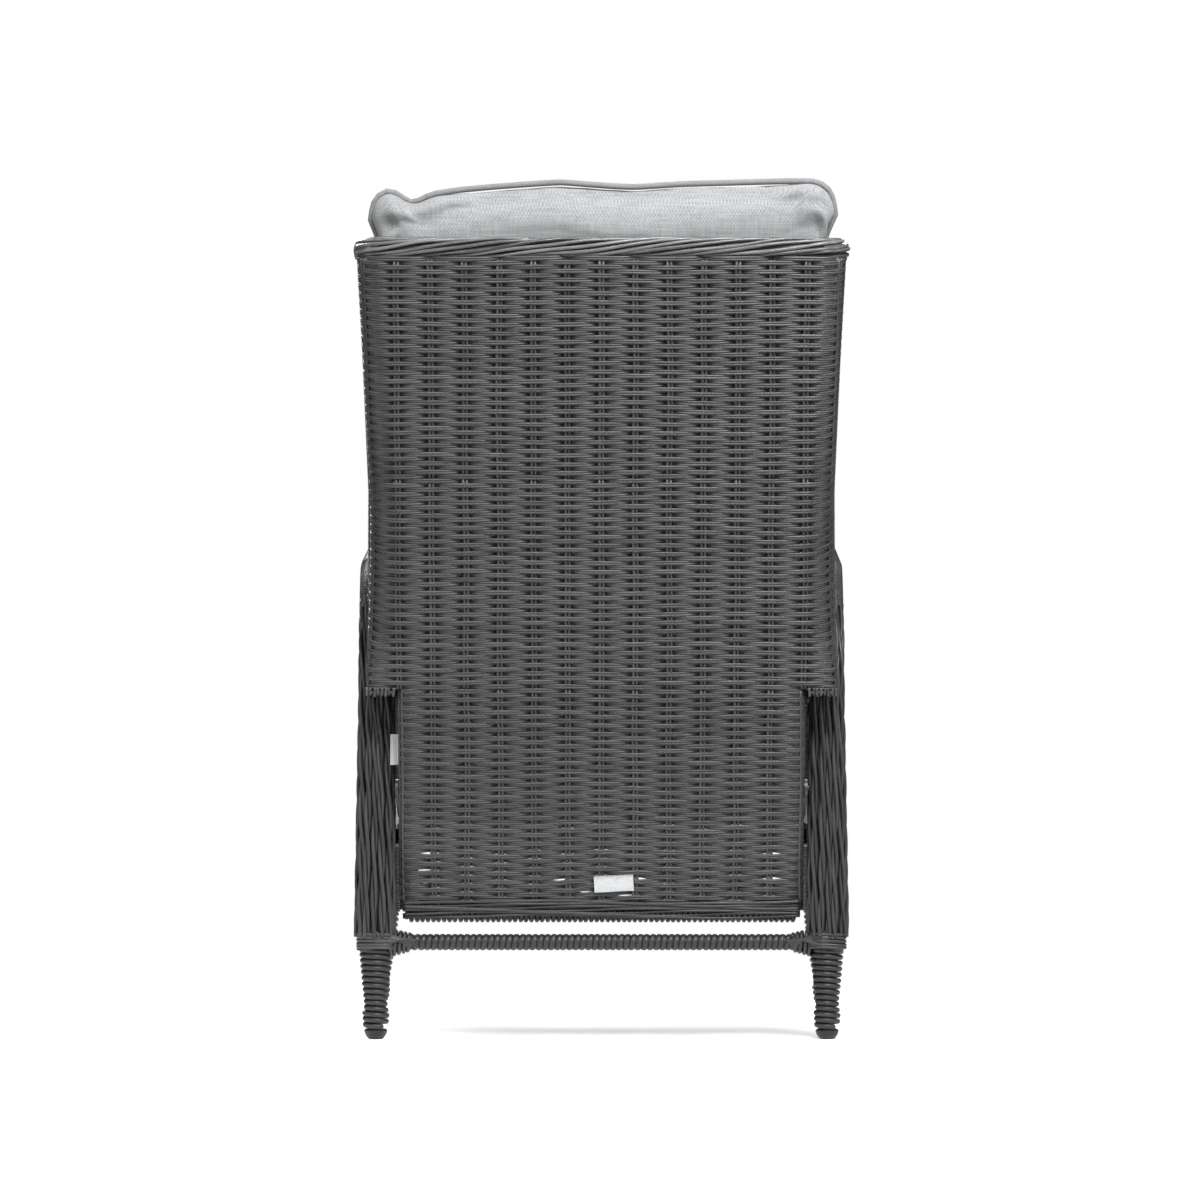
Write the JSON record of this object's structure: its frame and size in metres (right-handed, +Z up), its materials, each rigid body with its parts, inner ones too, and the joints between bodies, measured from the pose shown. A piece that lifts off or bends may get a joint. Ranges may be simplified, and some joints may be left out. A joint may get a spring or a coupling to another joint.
{
  "type": "reclining garden armchair",
  "caption": "High-back woven garden armchair that reclines on side pivots, with a sliding seat, a locking gas spring with a release handle, and loose cushions.",
  "frame": {"origin": "on the floor, under the middle of the chair's bounding box at rest", "axes": "+Z up, +Y behind the chair, +X to the left of a sitter, who faces -Y"},
  "size_m": [0.6926, 0.8665, 1.1718],
  "materials": {
    "wicker": "satin woven strands",
    "frame": "powder coated",
    "steel": "satin",
    "black_metal": "semi-gloss",
    "nylon": "matte",
    "foot": "matte",
    "handle": "matte",
    "webbing": "woven",
    "cushion": "linen weave",
    "label": "plain"
  },
  "bodies": {
    "base": {"side_frame_left": "frame", "side_frame_right": "frame", "side_weave_left": "wicker", "side_weave_right": "wicker", "arm_wrap_left": "wicker", "arm_wrap_right": "wicker", "rear_post_braid_left": "wicker", "rear_post_braid_right": "wicker", "front_post_wrap_left": "wicker", "front_post_wrap_right": "wicker", "rear_leg_wrap_left": "wicker", "rear_leg_wrap_right": "wicker", "front_leg_wrap_left": "wicker", "front_leg_wrap_right": "wicker", "rear_foot_left": "foot", "rear_foot_right": "foot", "front_foot_left": "foot", "front_foot_right": "foot", "corner_gusset_left": "wicker", "corner_gusset_right": "wicker", "seat_track_left": "frame", "seat_track_right": "frame", "rear_crossbar": "frame", "rear_crossbar_wrap": "wicker", "front_cross_rail": "frame", "mid_cross_rail": "frame", "cross_rail_bolts": "steel", "track_screws": "steel", "pivot_bolts": "steel", "pivot_washers": "nylon", "release_head": "black_metal", "gas_spring_rod": "steel", "gas_spring_front_pin": "steel", "care_tag": "label"},
    "backrest": {"back_frame": "frame", "back_weave": "wicker", "wing_weave_left": "wicker", "wing_weave_right": "wicker", "wing_edge_left": "wicker", "wing_edge_right": "wicker", "shoulder_wrap_left": "wicker", "shoulder_wrap_right": "wicker", "top_border": "wicker", "hem_wrap": "wicker", "pivot_bushes": "nylon", "hinge_pins": "steel", "sewn_label": "label", "back_cushion": "cushion"},
    "seat": {"seat_frame": "frame", "seat_straps": "webbing", "seat_apron": "wicker", "seat_glides": "nylon", "gas_spring_cylinder": "black_metal", "gas_spring_rear_pin": "steel", "seat_cushion": "cushion"},
    "lever": {"release_shaft": "steel", "release_handle": "handle"},
    "valve": {"valve_pin": "steel"}
  },
  "joints": [
    {"name": "recline", "type": "hinge", "parent": "base", "child": "backrest", "pos_m": [0, 0.2115, 0.47], "axis": [-1, 0, 0], "range_deg": [0, 35]},
    {"name": "seat_slide", "type": "slide", "parent": "base", "child": "seat", "axis": [0, -0.9945, 0.1045], "range_m": [0, 0.0761]},
    {"name": "release", "type": "hinge", "parent": "base", "child": "lever", "pos_m": [0, -0.36186, 0.30613], "axis": [-1, 0, 0], "range_deg": [0, 8], "stiffness_Nm_per_rad": 0.5},
    {"name": "valve_press", "type": "slide", "parent": "base", "child": "valve", "axis": [0, 0.9945, -0.1045], "range_m": [0, 0.0038]}
  ],
  "couplings": [
    {"joint": "seat_slide", "follows": "recline", "m_per_rad": 0.12437},
    {"joint": "valve_press", "follows": "release", "m_per_rad": 0.0272}
  ]
}
